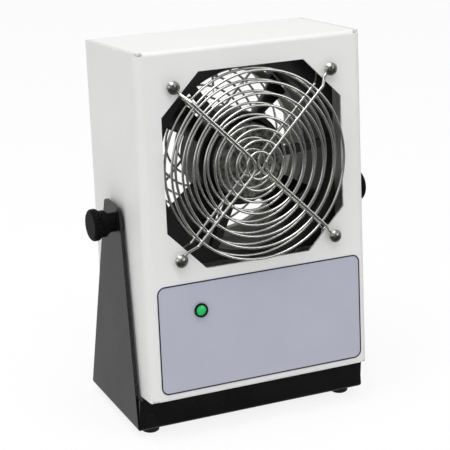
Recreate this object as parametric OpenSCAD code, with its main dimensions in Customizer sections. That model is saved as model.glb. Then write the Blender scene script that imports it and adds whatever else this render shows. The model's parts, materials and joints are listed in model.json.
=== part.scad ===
// Ionizing blower: an axial fan and its emitter points in a sheet-metal housing
// that tilts in a U-shaped bench stand. Sizes are in millimetres.
// X runs to the right, Y from the front (outlet) to the back (inlet), Z up.
// The origin lies on the bench, under the middle of the whole blower.

/* [Housing] */
// Width of the housing over its side walls
house_w = 150; // [146:1:190]
// Height of the housing
house_h = 214; // [208:1:250]
// Depth of the housing from its front face to its back edge
house_d = 78; // [76:1:110]
// Thickness of the housing's sheet metal
sheet_t = 1.5; // [1:0.1:2]
// Outer radius of the two upright front bends
bend_r = 5; // [4:0.5:7]
// Outer radius of the top and bottom front bends
edge_r = 2.5; // [2.2:0.1:4]
// Width of the open seams between the flanges
seam_w = 0.6; // [0.3:0.1:1]
// Length of the relief notch at each front corner, in from the side
relief_l = 5.3; // [4.5:0.1:7]
// Height of the relief notch at each front corner
relief_h = 1.8; // [1.6:0.1:2.4]
// Depth of the relief notch, from the front face back
relief_d = 2.6; // [2:0.1:5]
// Depth of the return flanges that carry the back panel
return_w = 9; // [8:0.5:11]

/* [Front label] */
// Width of the front label
label_w = 138.8; // [100:0.1:139]
// Height of the front label
label_h = 68.3; // [50:0.1:69]
// Corner radius of the front label
label_r = 5; // [2:0.5:10]
// Sideways place of the label's middle
label_x = 0.6; // [0:0.1:0.6]
// Distance from the housing's bottom edge to the label
label_up = 4.6; // [4:0.1:5.5]
// Thickness of the front label
label_t = 0.3; // [0.1:0.1:0.5]
// Sideways place of the lamp, from the middle
lamp_x = -40.6; // [-55:0.1:55]
// Height of the lamp above the housing's bottom edge
lamp_up = 54.7; // [20:0.1:62]
// Diameter of the lamp's bezel
bezel_d = 8.7; // [8:0.1:11]
// Height of the bezel above the label
bezel_t = 1.3; // [1:0.1:2]
// Wall of the bezel round the lens
bezel_wall = 0.9; // [0.6:0.1:1.2]
// Diameter of the lens's stem
stem_d = 5; // [4:0.1:5]

/* [Fan] */
// Side of the square fan frame
fan_size = 119.5; // [119:0.1:121]
// Depth of the fan
fan_depth = 38; // [32:0.5:40]
// Distance from the housing's top edge down to the fan's axis
fan_drop = 74; // [72:0.5:76]
// Distance from the frame's side in to a fan screw's axis
screw_in = 7.35; // [7:0.05:7.8]
// Distance from the housing's front face back to the fan
fan_setback = 10.5; // [9:0.1:13]
// Thinnest wall of the frame, from the air duct to the side
duct_wall = 3.25; // [2.5:0.05:4.5]
// Thickness of the fan frame's two square flanges
fan_flange_t = 4; // [3:0.1:6]
// Radius of the motor housing at the middle of the fan
hub_r = 24; // [23:0.1:26]
// Radius of the rotor's drum
drum_r = 29; // [27:0.1:31]
// Gap between the blade tips and the duct
tip_gap = 1.3; // [0.8:0.1:2.5]
// Number of fan blades
blade_count = 4; // [4:1:6]
// Thickness of a fan blade at its middle
blade_t = 1.8; // [1.2:0.1:2.4]
// Chord of a blade at its root
root_chord = 26; // [22:1:28]
// Chord of a blade at its tip
tip_chord = 32; // [26:1:36]
// Turn of the resting rotor about its axis
rotor_turn = 40; // [0:1:89]
// Number of struts that carry the motor
strut_count = 3; // [3:1:4]
// Turn of the first strut about the fan's axis
strut_turn = 5; // [0:1:119]
// Depth of the motor's fixed cap
hub_t = 8; // [7:0.5:8]
// Distance from the frame's front to the motor's cap
hub_face = 0.6; // [0.5:0.1:1]
// Distance from the fan's front to the rotor
rotor_front = 9; // [9:0.5:10]
// Distance from the rotor to the fan's back
rotor_back = 2; // [1.5:0.5:3]
// Across-flats size of the eight-sided air opening
opening_w = 120; // [112:0.5:122]
// Distance from a cut corner of the air opening to the fan screw beside it
corner_land = 6.93; // [5.5:0.01:9]
// Radius of the fan's shaft
shaft_r = 3; // [2:0.1:3.5]
// Radial running clearance of shafts and screws in their bearings
run_gap = 0.05; // [0.02:0.01:0.08]

/* [Wire guards] */
// Number of rings in a wire guard
ring_count = 8; // [5:1:8]
// Radius of a guard's innermost ring
ring_first = 8.4; // [7:0.1:9]
// Distance that the outermost ring reaches past the air duct
ring_over = 1.25; // [0:0.05:1.4]
// Diameter of the ring wire
ring_wire = 1.6; // [1.3:0.1:1.9]
// Diameter of the spoke wire
spoke_wire = 1.9; // [1.7:0.1:2.2]
// Height of the rings above the face that carries the guard
guard_proud = 6; // [5:0.1:7]

/* [Screws] */
// Diameter of the fan screws
fan_screw_d = 4; // [3.5:0.1:4.2]
// Head diameter of the fan screws
fan_head_d = 8; // [7.5:0.1:9]
// Head height of the fan screws
fan_head_h = 3; // [2.4:0.1:3.4]
// Diameter of the back panel's small screws
small_screw_d = 3; // [2.5:0.1:3.2]

/* [Stand] */
// Tilt of the housing as it stands, leaning back
tilt = 6.8; // [5:0.1:8]
// Height of the tilt axis above the bench
pivot_h = 130; // [129:0.5:140]
// Clearance between the housing and each arm
arm_gap = 2; // [1.5:0.1:4]
// Thickness of the stand's sheet metal
stand_t = 2; // [1.6:0.1:2.6]
// Depth of the stand's base
base_d = 77.5; // [74:0.5:90]
// Distance that the base sits back from the tilt axis
base_back = 1; // [0:0.5:2]
// Height of the front lip
lip_h = 21.4; // [10:0.1:21.6]
// Depth of each arm at its top
arm_top_d = 24.4; // [22:0.1:32]
// Distance that the arm's top sits back from the tilt axis
arm_top_back = 2.3; // [0:0.1:4]
// Height of the arms above the tilt axis
arm_over = 11.4; // [11:0.1:16]
// Corner radius at the arms' tops
arm_r = 3.5; // [1:0.5:6]
// Outer radius of the stand's bends
stand_bend = 3; // [2.7:0.1:5]

/* [Feet] */
// Diameter of a rubber foot
foot_d = 12.7; // [10:0.1:15]
// Height of a rubber foot
foot_h = 4; // [3:0.1:6]
// Distance from the base's sides to a foot's centre
foot_in = 11.7; // [9:0.1:20]
// Distance from the base's front and back edges to a foot's centre
foot_edge = 9.4; // [9:0.1:20]

/* [Clamp knobs] */
// Diameter of a clamp knob's head
grip_d = 19.8; // [16:0.1:21]
// Thickness of a clamp knob's head
grip_t = 5.4; // [4.2:0.1:7]
// Distance that a clamp knob stands out from its arm
grip_out = 14.9; // [13:0.1:18]
// Diameter of the clamp knob's threaded stud
stud_d = 6; // [5:0.1:6.4]

/* [Rear controls] */
// Height of the controls' centre line above the housing's bottom edge
controls_up = 34; // [32:0.5:38]
// Sideways place of the mains inlet
inlet_x = 41; // [38:0.5:43]
// Sideways place of the power switch
switch_x = 3; // [-1:0.5:7]
// Sideways place of the fan speed knob
speed_x = -27; // [-30:0.5:-25]
// Sideways place of the ground jack
jack_x = -53; // [-56:0.5:-50]
// Width of the mains inlet's flange
inlet_w = 48; // [46:0.5:50]
// Height of the mains inlet's flange
inlet_h = 35; // [35:0.5:38]
// Travel of the fuse drawer
drawer_travel = 14; // [8:0.5:18]
// Angle between the switch's two positions
rock_angle = 16; // [10:1:20]
// Diameter of the speed knob
speed_d = 19; // [15:0.5:22]
// Radius of the ground jack's socket
jack_bore_r = 2.05; // [2:0.01:2.2]

/* [Ionizer] */
// Radius of the ring that carries the emitter points
emitter_r = 55; // [52:0.5:57]
// Thickness of the emitter ring
emitter_t = 5; // [4:0.5:6]
// Width of the circuit board
board_w = 122; // [112:1:124]
// Depth of the circuit board
board_d = 40; // [38:1:44]
// Thickness of the circuit board
board_t = 1.6; // [1:0.1:2.4]
// Height of the standoffs under the board
standoff_h = 8; // [5:0.5:9]
// Height of the potted high-voltage module
module_h = 26; // [20:1:30]

/* [Hidden] */
$fn = 48;

joint_swell = 1.06;                           // the bends of a wire are a little full
tiny = 0.05;                                  // overreach of a cut past its face
fit = 0.25;                                   // clearance of a part in its cut-out
front_y = -house_d / 2;                       // front face, from the tilt axis
back_y = house_d / 2;                         // back face, from the tilt axis
bottom_z = -house_h / 2;
fan_z = house_h / 2 - fan_drop;
fan_y = front_y + fan_setback;
screw_pitch = fan_size - 2 * screw_in;
hole_at = screw_pitch / 2;
duct_r = fan_size / 2 - duct_wall;
opening_cut = opening_w - screw_pitch + corner_land * sqrt(2);
ring_pitch = (duct_r + ring_over - ring_first) / (ring_count - 1);
guard_r = ring_first + ring_pitch * (ring_count - 1) + ring_wire / 2;
spoke_lift = (ring_wire + spoke_wire) / 2 - 0.4;   // spokes are welded into the rings
guard_reach = guard_proud + spoke_lift + spoke_wire / 2;

// Places the blower's middle over the origin: the leaning housing's front foot
// reaches forward, and the top of the rear guard reaches back.
reach_front = house_d / 2 * cos(tilt) + house_h / 2 * sin(tilt);
reach_back = (house_d / 2 + guard_reach) * cos(tilt) + (fan_z + guard_r * 0.7) * sin(tilt);
pivot_y = (reach_front - reach_back) / 2;

arm_in = house_w / 2 + arm_gap;               // inner face of an arm
arm_out = arm_in + stand_t;                   // outer face of an arm
base_z = foot_h - pivot_h;                    // underside of the base, from the tilt axis
base_front = base_back - base_d / 2;
base_rear = base_back + base_d / 2;
controls_z = bottom_z + controls_up;
panel_y = back_y - sheet_t;                   // inner face of the back panel
panel_w = house_w - 2 * sheet_t - 2 * fit;
panel_h = house_h - 2 * sheet_t - 2 * fit;
screw_z = [bottom_z + 12, bottom_z + 76, bottom_z + 140, -bottom_z - 12];
screw_x = house_w / 2 - sheet_t - return_w / 2;
stator_l = 12;                                // the motor's laminated part
stator_in = 3.5;                              // from the motor's cap to the laminations
stator_core_l = 20;
coil_count = 6;
coil_at = 14;
coil_r = 4.5;
coil_l = 16.6;
bearing_w = 5;
bearing_r = shaft_r + 3.5;
panel_screw_l = 6;
inlet_screw_l = 8;
root_pitch = 58;                              // angle between a blade's chord and the fan's plane
tip_pitch = 38;
blade_camber = 4;
blade_root = 1.5;                             // a blade's root sinks into the drum
blade_rows = 8;                               // steps from root to tip
blade_cols = 10;                              // steps from edge to edge
lens_seat = 0.3;                              // from the label to the lens's seat in the bezel
lens_r = bezel_d / 2 - bezel_wall;
collar_r = stem_d / 2 + 0.7;
collar_l = 10;
collar_nut_t = 2.5;
collar_fit = 0.1;
fan_back_y = fan_y + fan_depth;
washer_t = arm_gap;
eyelet_t = spoke_wire / 2 * (1 + joint_swell);     // from a guard's seat to its eyelets' tops
insert_l = 9;                                 // depth of a threaded insert behind the sheet
insert_r = 4.9;
nut_h = 3.2;                                  // fan nuts
nut_across = 7;
emitter_y = fan_back_y + nut_h + 2;           // the ring stands behind the fan

standoff_in = 5;                              // from the board's edges to a standoff's axis
stand_room = 11;                              // room for a standoff at each end of the board
parts_w = 38;                                 // room for the parts beside the module
parts_gap = 2;
board_z = bottom_z + sheet_t + standoff_h;    // underside of the board
board_y = front_y + sheet_t + 3;
board_top = board_z + board_t;
module_w = board_w - 2 * stand_room - parts_w - parts_gap;
module_d = board_d - 2 * standoff_in;

socket_w = 27;                                // the inlet's body behind its flange
inlet_hole = 20;                              // from the inlet's centre to a screw
inlet_lip = 2.6;                              // flange thickness
inlet_body_d = 22;                            // depth of the body behind the panel
pin_socket = [24.2, 16];
socket_depth = 17;
socket_cut = 4.5;                             // its two cut corners
socket_up = 6.5;                              // the pin socket's centre above the inlet's
pin_size = [2, 23, 4];
pin_spread = 7;
drawer_size = [23, 6.6];
drawer_up = -10.5;                            // the drawer's centre from the inlet's
drawer_depth = 19;
drawer_fit = 0.3;
fuse_l = 20;
fuse_r = 2.6;

switch_w = 13;
switch_h = 19.5;
switch_lip = 1.8;
switch_depth = 16;
rocker_w = 9.6;
rocker_r = 9;
rocker_in = 1.5;                              // the rocker's axle lies this far inside the panel
rocker_reach = rocker_r * cos(30);

bushing_r = 3.5;
bushing_l = 5;
control_r = 8;
control_l = 9;
speed_shaft_r = 3;
speed_knob_h = 13;
speed_gap = 0.6;                              // from the panel to the speed knob
jack_r = 4;
jack_flange_r = 6;
jack_flange_t = 3;
jack_body_l = 10;
grip_edge = 2;                                // radius of a clamp knob's rounded rims
eyelet_r = fan_screw_d / 2 + spoke_wire / 2 + 0.15;  // loop at the end of a guard's leg

// ---- Frames and small helpers -------------------------------------------------

// Carries the leaning housing: its own axes start at the tilt axis.
module in_housing()
    translate([0, pivot_y, pivot_h]) rotate([-tilt, 0, 0]) children();

// Carries what is centred on the fan's axis.
module in_fan()
    in_housing() translate([0, 0, fan_z]) children();

// Carries the stand, which stands upright.
module in_stand()
    translate([0, pivot_y, pivot_h]) children();

// A flat piece: its outline is drawn in X and Z, and it is t deep from y on.
module slab(y, t)
    translate([0, y + t, 0]) rotate([90, 0, 0]) linear_extrude(t) children();

// Turns a round piece so that its own height runs back along Y from y on.
module turned(y)
    translate([0, y, 0]) rotate([-90, 0, 0]) children();

// Turns a round piece so that its own height runs along +X (side 1) or -X (side -1).
module sideways(side, x)
    translate([side * x, 0, 0]) rotate([0, side * 90, 0]) children();

// A rectangle with round corners, centred.
module round_rect(w, h, r) {
    square([w - 2 * r, h], center = true);
    square([w, h - 2 * r], center = true);
    for (x = [-1, 1], z = [-1, 1])
        translate([x * (w / 2 - r), z * (h / 2 - r)]) circle(r);
}

// The eight-sided air opening.
module octagon(w, c) {
    a = w / 2;
    b = a - c;
    polygon([[a, b], [b, a], [-b, a], [-a, b], [-a, -b], [-b, -a], [b, -a], [a, -b]]);
}

// Repeats a piece at the fan's four screws.
module at_fan_holes()
    for (x = [-1, 1], z = [-1, 1])
        translate([x * hole_at, 0, z * hole_at]) children();

// A straight wire between two points.
module rod(p, q, r) {
    v = q - p;
    len_v = norm(v);
    translate(p) rotate([0, acos(v[2] / len_v), atan2(v[1], v[0])]) cylinder(h = len_v, r = r);
}

// A wire bent through a list of points.
module wire(points, r) {
    for (i = [0 : len(points) - 2])
        rod(points[i], points[i + 1], r);
    for (i = [1 : len(points) - 2])
        translate(points[i]) sphere(r * joint_swell);
}

// A round ring of wire about the Y axis.
module wire_ring(ring_r, wire_r)
    rotate([90, 0, 0]) rotate_extrude() translate([ring_r, 0]) circle(wire_r, $fn = 24);

// A pan-head screw along +Y: its head stands in front of y = 0.
module pan_screw(d, head_d, head_h, length) {
    turned(0) cylinder(h = length, r = d / 2);
    difference() {
        intersection() {
            turned(-head_h) cylinder(h = head_h, r = head_d / 2);
            translate([0, head_d * 0.62 - head_h, 0]) sphere(head_d * 0.62);
        }
        for (a = [45, 135])
            rotate([0, a, 0])
                translate([-head_d * 0.28, -head_h - tiny, -head_h * 0.13])
                    cube([head_d * 0.56, head_h * 0.55, head_h * 0.26]);
    }
}

// A hexagon nut along +Y from y = 0.
module hex_nut(d, across, height)
    difference() {
        turned(0) cylinder(h = height, r = across / sqrt(3), $fn = 6);
        turned(-tiny) cylinder(h = height + 2 * tiny, r = d / 2 + run_gap);
    }

// ---- Stand --------------------------------------------------------------------

// Side outline of an arm: wide at the base, narrow and rounded at the top.
module arm_outline() {
    top_f = arm_top_back - arm_top_d / 2;
    top_r = arm_top_back + arm_top_d / 2;
    polygon([
        [base_front, base_z], [base_rear, base_z],
        [top_r, arm_over - arm_r], [top_r - arm_r, arm_over],
        [top_f + arm_r, arm_over], [top_f, arm_over - arm_r]
    ]);
    for (y = [top_f + arm_r, top_r - arm_r])
        translate([y, arm_over - arm_r]) circle(arm_r);
}

// The U: base plate, two arms and the front lip, bent from one sheet.
module stand_bracket() {
    lip_top = base_z + lip_h;
    color([0.05, 0.05, 0.05]) in_stand() difference() {
        union() {
            // Arms: the side outline through the whole width, emptied between them.
            difference() {
                rotate([90, 0, 90]) translate([0, 0, -arm_out])
                    linear_extrude(2 * arm_out) arm_outline();
                translate([-arm_in, base_front - 1, base_z + stand_t])
                    cube([2 * arm_in, base_d + 2, arm_over - base_z]);
            }
            translate([-arm_in - stand_t / 2, base_front, base_z + stand_t / 2])
                cube([2 * arm_in + stand_t, stand_t, lip_h - stand_t / 2]);
        }
        // Bends along the bottom edges.
        for (side = [-1, 1])
            translate([side * (arm_out - stand_bend), 0, base_z + stand_bend])
                bend_cut(base_d + 2, side);
        translate([0, base_front + stand_bend, base_z + stand_bend])
            rotate([0, 0, -90]) bend_cut(2 * arm_out + 2, 1);
        // Stud holes at the tilt axis.
        for (side = [-1, 1])
            sideways(side, arm_in - 1) cylinder(h = stand_t + 2, r = stud_d / 2 + fit);
    }
}

// What a bend takes away from a square corner, along Y.
module bend_cut(length, side)
    translate([0, base_back, 0]) rotate([90, 0, 0])
        linear_extrude(length, center = true) difference() {
            translate([side > 0 ? 0 : -stand_bend - 1, -stand_bend - 1])
                square(stand_bend + 1);
            circle(stand_bend);
        }

// Four rubber feet, tapered towards the bench.
module stand_feet() {
    color([0.04, 0.04, 0.04]) in_stand()
        for (x = [-1, 1], y = [base_front + foot_edge, base_rear - foot_edge])
            translate([x * (arm_out - foot_in), y, base_z - foot_h]) rotate_extrude()
                polygon([
                    [0, 0], [foot_d / 2 - 1.2, 0], [foot_d / 2 - 0.6, 0.5],
                    [foot_d / 2, foot_h], [0, foot_h]
                ]);
}

// A friction washer between the housing and an arm.
module pivot_washer(side)
    color([0.1, 0.1, 0.1]) in_stand() sideways(side, house_w / 2 + 0.05) difference() {
        cylinder(h = washer_t - 0.1, r = 9);
        translate([0, 0, -1]) cylinder(h = washer_t + 2, r = stud_d / 2 + fit);
    }

module left_pivot_washer() pivot_washer(-1);

module right_pivot_washer() pivot_washer(1);

// ---- Housing sheet metal ------------------------------------------------------

// Plan of the housing, inset by i: round at the front, square and open at the back.
module plan(i) {
    w = house_w / 2 - i;
    r = bend_r - i;
    difference() {
        translate([-w, front_y + i]) square([2 * w, house_d]);
        for (x = [-1, 1])
            translate([x * (w - r), front_y + bend_r]) difference() {
                translate([x > 0 ? 0 : -r - 1, -r - 1]) square(r + 1);
                circle(r);
            }
    }
}

// Side outline of the housing, inset by i, drawn in Y and Z.
module profile(i) {
    h = house_h / 2 - i;
    r = edge_r - i;
    difference() {
        translate([front_y + i, -h]) square([house_d, 2 * h]);
        for (z = [-1, 1])
            translate([front_y + edge_r, z * (h - r)]) difference() {
                translate([-r - 1, z > 0 ? 0 : -r - 1]) square(r + 1);
                circle(r);
            }
    }
}

// The solid that the housing's outside (i = 0) or inside (i = sheet) fills.
module housing_block(i)
    intersection() {
        translate([0, 0, -house_h / 2 + i]) linear_extrude(house_h - 2 * i) plan(i);
        rotate([90, 0, 90]) linear_extrude(house_w + 2, center = true) profile(i);
    }

// The five-sided pan, with its return flanges and every hole of the front.
module front_shell() {
    seam_x = house_w / 2 - sheet_t - seam_w / 2;
    color([0.86, 0.86, 0.86]) in_housing() difference() {
        union() {
            difference() {
                housing_block(0);
                housing_block(sheet_t);
                translate([-house_w, back_y, -house_h]) cube([2 * house_w, house_d, 2 * house_h]);
            }
            for (side = [-1, 1])
                translate([side * (house_w / 2 - return_w / 2 - sheet_t / 2), panel_y - sheet_t - 0.1, 0])
                    translate([-return_w / 2 - sheet_t / 2, 0, 4 - house_h / 2])
                        cube([return_w + sheet_t, sheet_t, house_h - 8]);
        }
        // Trims the return flanges flush with the side walls.
        for (side = [-1, 1])
            translate([side * (house_w / 2 + 5), 0, 0]) cube([10, 2 * house_d, 2 * house_h], center = true);
        // Air opening and fan screws.
        translate([0, 0, fan_z]) slab(front_y - 1, sheet_t + 2) octagon(opening_w, opening_cut);
        translate([0, front_y - 1, fan_z]) at_fan_holes()
            turned(0) cylinder(h = sheet_t + 2, r = fan_screw_d / 2 + fit);
        // Lamp.
        translate([lamp_x, 0, bottom_z + lamp_up]) turned(front_y - 1)
            cylinder(h = sheet_t + 2, r = collar_r + collar_fit);
        // Relief notches at the corners, and the seams that run back from them.
        for (x = [-1, 1], z = [-1, 1]) {
            translate([x * house_w / 2, front_y, z * house_h / 2])
                cube([2 * relief_l, 2 * relief_d, 2 * relief_h], center = true);
            translate([x * seam_x, front_y + relief_d + house_d / 2, z * (house_h / 2 - sheet_t / 2)])
                cube([seam_w, house_d, sheet_t + 2 * tiny], center = true);
        }
        // Threaded inserts at the tilt axis, and the back panel's screws.
        for (side = [-1, 1])
            sideways(side, house_w / 2 - sheet_t - 1) cylinder(h = sheet_t + 2, r = insert_r + 0.1);
        for (x = [-1, 1], z = screw_z)
            translate([x * screw_x, 0, z]) turned(panel_y - sheet_t - 1)
                cylinder(h = sheet_t + 2, r = small_screw_d / 2 + run_gap);
    }
}

// The back panel, with the air inlet and the holes for the controls.
module rear_panel()
    color([0.84, 0.84, 0.84]) in_housing() difference() {
        slab(panel_y, sheet_t) round_rect(panel_w, panel_h, 1.5);
        translate([0, 0, fan_z]) slab(panel_y - 1, sheet_t + 2) octagon(opening_w, opening_cut);
        translate([0, panel_y - 1, fan_z]) at_fan_holes()
            turned(0) cylinder(h = sheet_t + 2, r = fan_screw_d / 2 + fit);
        for (x = [-1, 1], z = screw_z)
            translate([x * screw_x, 0, z]) turned(panel_y - 1)
                cylinder(h = sheet_t + 2, r = small_screw_d / 2 + fit);
        translate([inlet_x, 0, controls_z]) {
            slab(panel_y - 1, sheet_t + 2) square([socket_w + 4, inlet_h - 4], center = true);
            for (x = [-1, 1])
                translate([x * inlet_hole, 0, 0]) turned(panel_y - 1)
                    cylinder(h = sheet_t + 2, r = small_screw_d / 2 + fit);
        }
        translate([switch_x, 0, controls_z]) slab(panel_y - 1, sheet_t + 2)
            square([switch_w, switch_h], center = true);
        translate([speed_x, 0, controls_z]) turned(panel_y - 1)
            cylinder(h = sheet_t + 2, r = bushing_r + fit);
        translate([jack_x, 0, controls_z]) turned(panel_y - 1)
            cylinder(h = sheet_t + 2, r = jack_r + fit);
    }

// Screws that hold the back panel to the return flanges.
module rear_panel_screws()
    color([0.75, 0.75, 0.75]) in_housing()
        for (x = [-1, 1], z = screw_z)
            translate([x * screw_x, back_y, z]) mirror([0, 1, 0])
                pan_screw(small_screw_d, small_screw_d * 2, small_screw_d * 0.7, panel_screw_l);

// Threaded inserts, riveted into the side walls at the tilt axis.
module pivot_inserts()
    color([0.7, 0.65, 0.4]) in_housing()
        for (side = [-1, 1])
            sideways(side, house_w / 2 - sheet_t - insert_l) difference() {
                union() {
                    cylinder(h = insert_l + sheet_t, r = insert_r);
                    cylinder(h = insert_l - 0.05, r = insert_r + 1.6);
                }
                translate([0, 0, -1]) cylinder(h = insert_l + sheet_t + 2, r = stud_d / 2 + run_gap);
            }

// ---- Label and lamp -----------------------------------------------------------

module front_label()
    color([0.68, 0.68, 0.74]) in_housing() difference() {
        translate([label_x, 0, bottom_z + label_up + label_h / 2]) slab(front_y - label_t, label_t)
            round_rect(label_w, label_h, label_r);
        translate([lamp_x, 0, bottom_z + lamp_up]) turned(front_y - 1)
            cylinder(h = 2, r = collar_r + collar_fit);
    }

// The lamp's bezel: a flanged collar with a nut behind the sheet.
module lamp_bezel()
    color([0.05, 0.05, 0.05]) in_housing() translate([lamp_x, 0, bottom_z + lamp_up])
        turned(front_y - label_t) difference() {
            union() {
                translate([0, 0, -bezel_t]) cylinder(h = bezel_t, r = bezel_d / 2);
                translate([0, 0, -tiny]) cylinder(h = collar_l, r = collar_r);
                translate([0, 0, sheet_t + label_t])
                    cylinder(h = collar_nut_t, r = collar_r + collar_nut_t, $fn = 6);
            }
            translate([0, 0, -bezel_t - 1]) cylinder(h = collar_l + bezel_t + 2, r = stem_d / 2 + run_gap);
            translate([0, 0, -bezel_t - 1]) cylinder(h = 1 + bezel_t - lens_seat, r = lens_r + run_gap);
        }

// The lens: a domed cap that sits in the bezel, on a stem through the collar.
module lamp_lens()
    color([0.2, 0.8, 0.35]) in_housing() translate([lamp_x, 0, bottom_z + lamp_up])
        turned(front_y - label_t - lens_seat) {
            cylinder(h = collar_l, r = stem_d / 2);
            translate([0, 0, -bezel_t]) intersection() {
                cylinder(h = bezel_t, r = lens_r);
                translate([0, 0, lens_r * 1.8]) sphere(lens_r * 1.8);
            }
        }

// ---- Wire guards --------------------------------------------------------------

// One finger guard: rings, two bent spokes and four legs with eyelets.
// It stands in front of the face at y = 0.
module wire_guard() {
    ring_y = -guard_proud;
    spoke_y = ring_y - spoke_lift;
    foot_y = spoke_wire / 2 - eyelet_t;
    leg_in = hole_at - 9;                     // where a leg leaves the spoke's plane
    leg_out = hole_at - 4.2;                  // where it reaches the face
    eye_in = hole_at - eyelet_r / sqrt(2);
    bend_at = ring_first * 0.75;              // where a spoke turns past the middle
    neck = ring_first * 0.45;
    for (k = [0 : ring_count - 1])
        translate([0, ring_y, 0]) wire_ring(ring_first + k * ring_pitch, ring_wire / 2);
    for (side = [-1, 1]) {
        wire([
            [side * eye_in, foot_y, eye_in], [side * leg_out, foot_y, leg_out],
            [side * leg_in, spoke_y, leg_in], [side * bend_at, spoke_y, bend_at],
            [side * neck, spoke_y, neck * 0.6], [side * neck, spoke_y, -neck * 0.6],
            [side * bend_at, spoke_y, -bend_at], [side * leg_in, spoke_y, -leg_in],
            [side * leg_out, foot_y, -leg_out], [side * eye_in, foot_y, -eye_in]
        ], spoke_wire / 2);
        for (z = [-1, 1])
            translate([side * hole_at, foot_y, z * hole_at]) wire_ring(eyelet_r, spoke_wire / 2);
    }
}

module front_guard()
    color([0.85, 0.85, 0.85]) in_fan() translate([0, front_y, 0]) wire_guard();

module inner_guard()
    color([0.8, 0.8, 0.8]) in_fan() translate([0, fan_y, 0]) wire_guard();

module rear_guard()
    color([0.8, 0.8, 0.8]) in_fan() translate([0, back_y, 0]) mirror([0, 1, 0]) wire_guard();

// ---- Fan ----------------------------------------------------------------------

// Long screws that clamp guard, panel, spacers and fan together.
module fan_screws()
    color([0.8, 0.8, 0.8]) in_fan() translate([0, front_y - eyelet_t, 0]) at_fan_holes()
        pan_screw(fan_screw_d, fan_head_d, fan_head_h,
                  eyelet_t + fan_setback + fan_depth + nut_h + 1);

// Tubes that hold the fan back from the front panel.
module fan_spacers()
    color([0.7, 0.7, 0.7]) in_fan() at_fan_holes() turned(front_y + sheet_t) difference() {
        cylinder(h = fan_setback - sheet_t - eyelet_t, r = fan_screw_d / 2 + 1.6);
        translate([0, 0, -1]) cylinder(h = fan_setback, r = fan_screw_d / 2 + fit);
    }

module fan_nuts()
    color([0.75, 0.75, 0.75]) in_fan() translate([0, fan_back_y, 0]) at_fan_holes()
        hex_nut(fan_screw_d, nut_across, nut_h);

module rear_guard_screws()
    color([0.8, 0.8, 0.8]) in_fan() translate([0, back_y + eyelet_t, 0]) at_fan_holes()
        mirror([0, 1, 0]) pan_screw(fan_screw_d, fan_head_d, fan_head_h,
                                    eyelet_t + sheet_t + nut_h + 1);

module rear_guard_nuts()
    color([0.75, 0.75, 0.75]) in_fan() translate([0, panel_y - nut_h, 0]) at_fan_holes()
        hex_nut(fan_screw_d, nut_across, nut_h);

// The frame: two square flanges, the round duct, and struts that carry the motor.
module fan_frame()
    color([0.06, 0.06, 0.06]) in_fan() {
        difference() {
            union() {
                for (y = [fan_y, fan_back_y - fan_flange_t])
                    slab(y, fan_flange_t) round_rect(fan_size, fan_size, 4);
                intersection() {
                    turned(fan_y) cylinder(h = fan_depth, r = duct_r + 3.2, $fn = 72);
                    slab(fan_y, fan_depth) square(fan_size, center = true);
                }
            }
            turned(fan_y) rotate_extrude($fn = 72) polygon([
                [0, -1], [duct_r + 2.2, -1], [duct_r + 2, 0], [duct_r, 5],
                [duct_r, fan_depth - 5], [duct_r + 2, fan_depth], [duct_r + 2.2, fan_depth + 1],
                [0, fan_depth + 1]
            ]);
            at_fan_holes() turned(fan_y - 1) cylinder(h = fan_depth + 2, r = fan_screw_d / 2 + fit);
        }
        turned(fan_y + hub_face) difference() {
            cylinder(h = hub_t, r = hub_r);
            translate([0, 0, hub_t - bearing_w]) cylinder(h = hub_t, r = bearing_r);
        }
        for (k = [0 : strut_count - 1])
            rotate([0, -strut_turn - k * 360 / strut_count, 0])
                translate([hub_r - 1, fan_y + hub_face + 0.4, -2.5]) cube([duct_r - hub_r + 2.5, 5, 5]);
    }

// The plain disc on the motor's face.
module fan_hub_plate()
    color([0.7, 0.7, 0.7]) in_fan() turned(fan_y + hub_face - 0.4)
        cylinder(h = 0.4, r = hub_r - 1);

// The motor's laminated stator with its windings, inside the rotor's drum.
module fan_stator()
    color([0.6, 0.4, 0.25]) in_fan() turned(fan_y + hub_face + hub_t) difference() {
        union() {
            translate([0, 0, stator_in]) cylinder(h = stator_l, r = coil_at + coil_r * 1.75);
            cylinder(h = stator_core_l, r = bearing_r + 2.5);
            for (k = [0 : coil_count - 1])
                rotate([0, 0, k * 360 / coil_count]) translate([coil_at, 0, stator_in * 0.35])
                    cylinder(h = coil_l, r = coil_r);
        }
        translate([0, 0, -1]) cylinder(h = stator_core_l + 2, r = bearing_r);
    }

// Two ball bearings for the shaft.
module fan_bearings()
    color([0.7, 0.7, 0.72]) in_fan()
        for (y = [hub_face + hub_t - bearing_w, hub_face + hub_t + stator_core_l - bearing_w])
            turned(fan_y + y) difference() {
                cylinder(h = bearing_w, r = bearing_r - 0.02);
                translate([0, 0, -1]) cylinder(h = bearing_w + 2, r = shaft_r + run_gap);
            }

// A point of a blade: s runs from root to tip, u from the front edge to the back
// edge, and side is -1 or 1 for the blade's two faces. The blade is twisted and
// cambered, and thins out to its edges.
function blade_point(s, u, side) =
    let (
        root_r = drum_r - blade_root,
        r = root_r + s * (duct_r - tip_gap - root_r),
        pitch = root_pitch + (tip_pitch - root_pitch) * s,
        chord = root_chord + (tip_chord - root_chord) * s,
        camber = blade_camber * (1 - pow(2 * u - 1, 2)),
        thick = side * blade_t / 2 * sqrt(max(0.02, 1 - pow(2 * u - 1, 2))),
        along = (u - 0.5) * chord,
        around = along * cos(pitch) - (camber + thick) * sin(pitch),
        deep = along * sin(pitch) + (camber + thick) * cos(pitch),
        turn = around / r * 180 / PI
    )
    [r * cos(turn), r * sin(turn), deep];

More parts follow.
